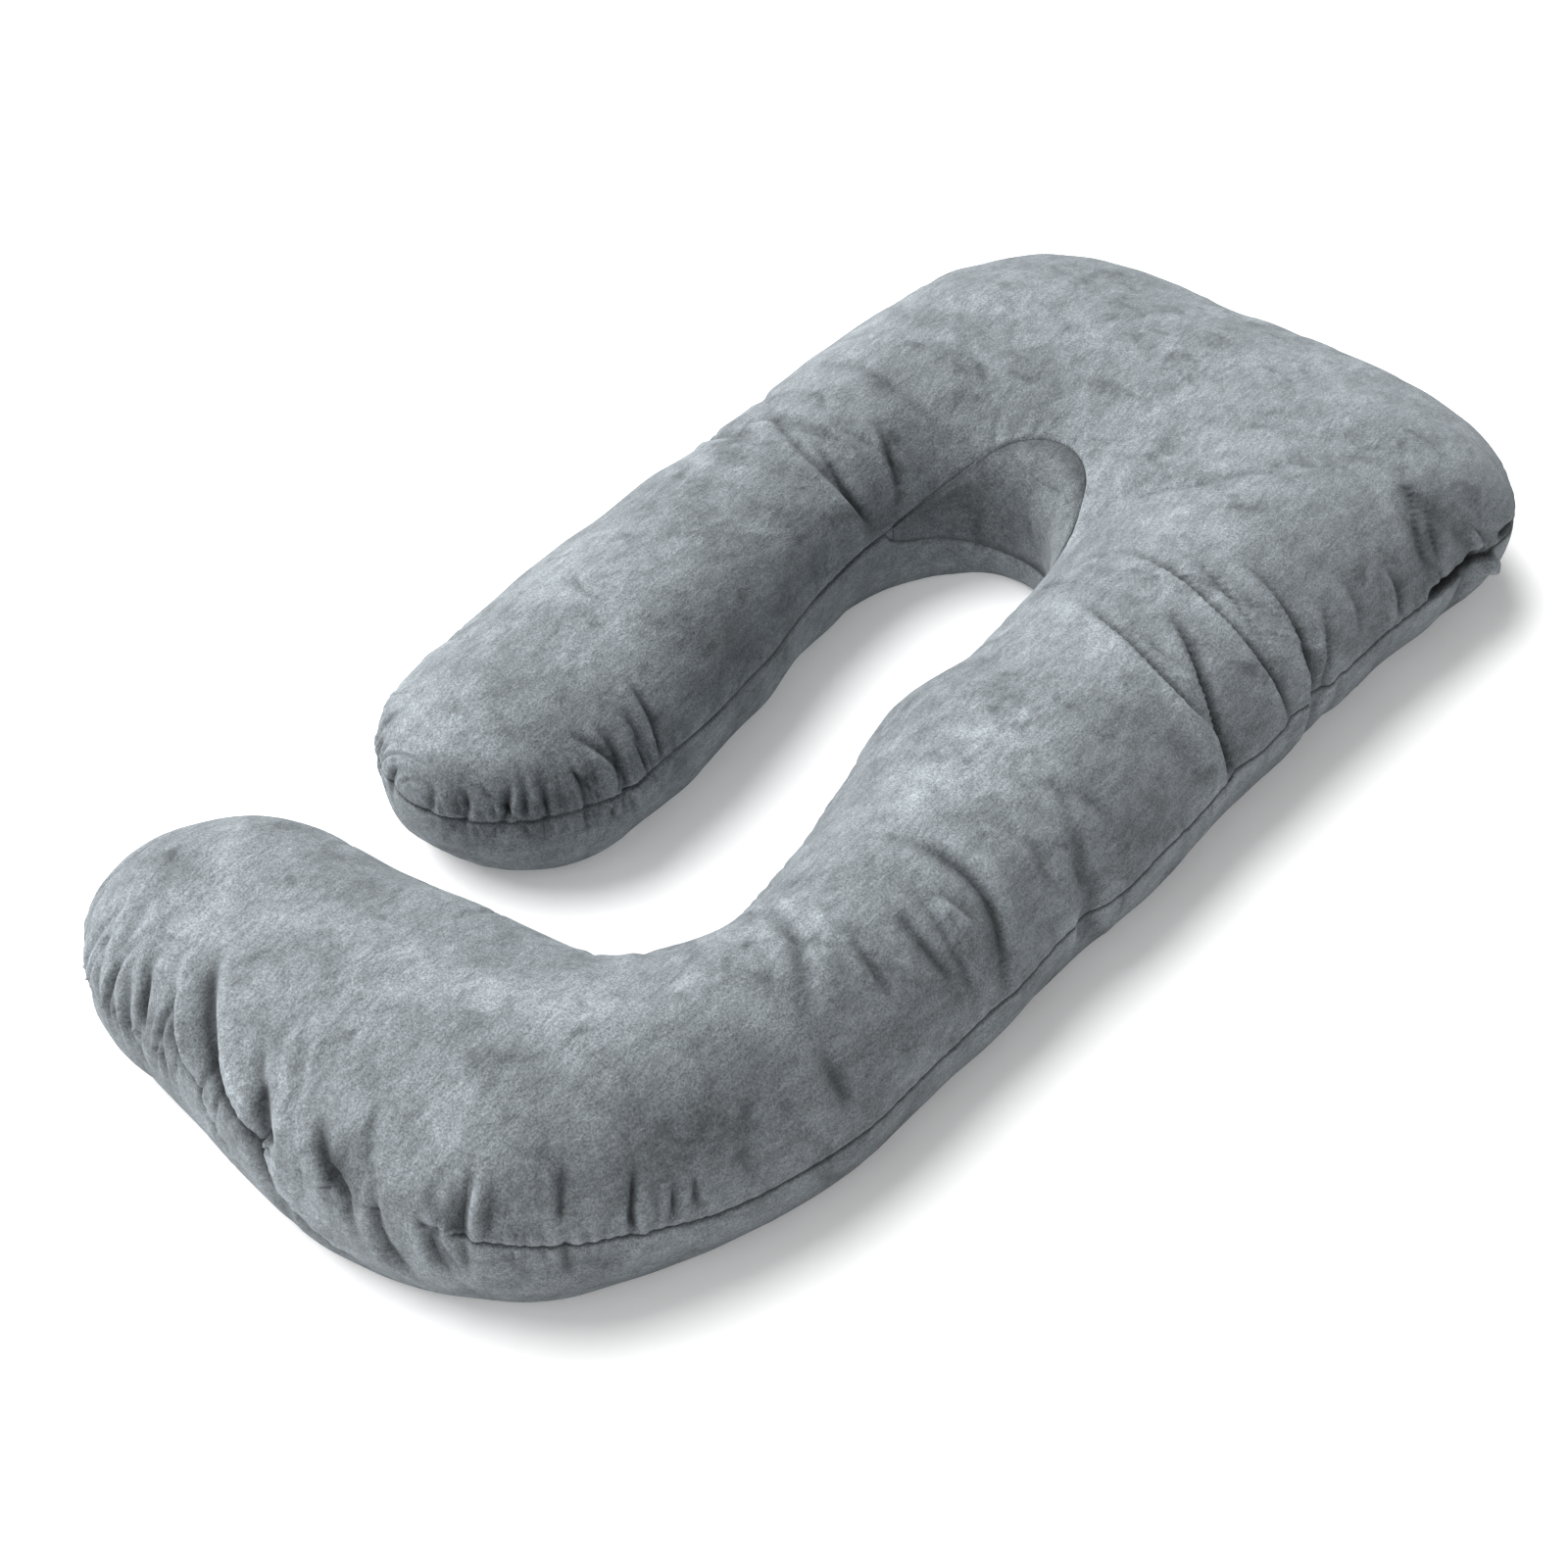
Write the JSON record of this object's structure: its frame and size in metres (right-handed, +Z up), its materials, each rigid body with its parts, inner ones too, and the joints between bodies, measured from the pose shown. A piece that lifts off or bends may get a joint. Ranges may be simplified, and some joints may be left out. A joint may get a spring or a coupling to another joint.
{
  "type": "pregnancy pillow",
  "caption": "Long hooked full-body pillow of grey plush cloth, with a short arm, a wide square head and a long arm that ends in a hook.",
  "frame": {"origin": "centre of the pillow's footprint, on the surface that it lies on", "axes": "+Z up out of that surface, +Y along the pillow from the hook to the head, +X from the short arm to the long arm"},
  "size_m": [0.7002, 1.4471, 0.1822],
  "materials": {
    "grey_plush": "short brushed plush, soft matt sheen"
  },
  "bodies": {
    "root": {"pillow_body": "grey_plush", "neck_panel": "grey_plush"}
  },
  "joints": []
}
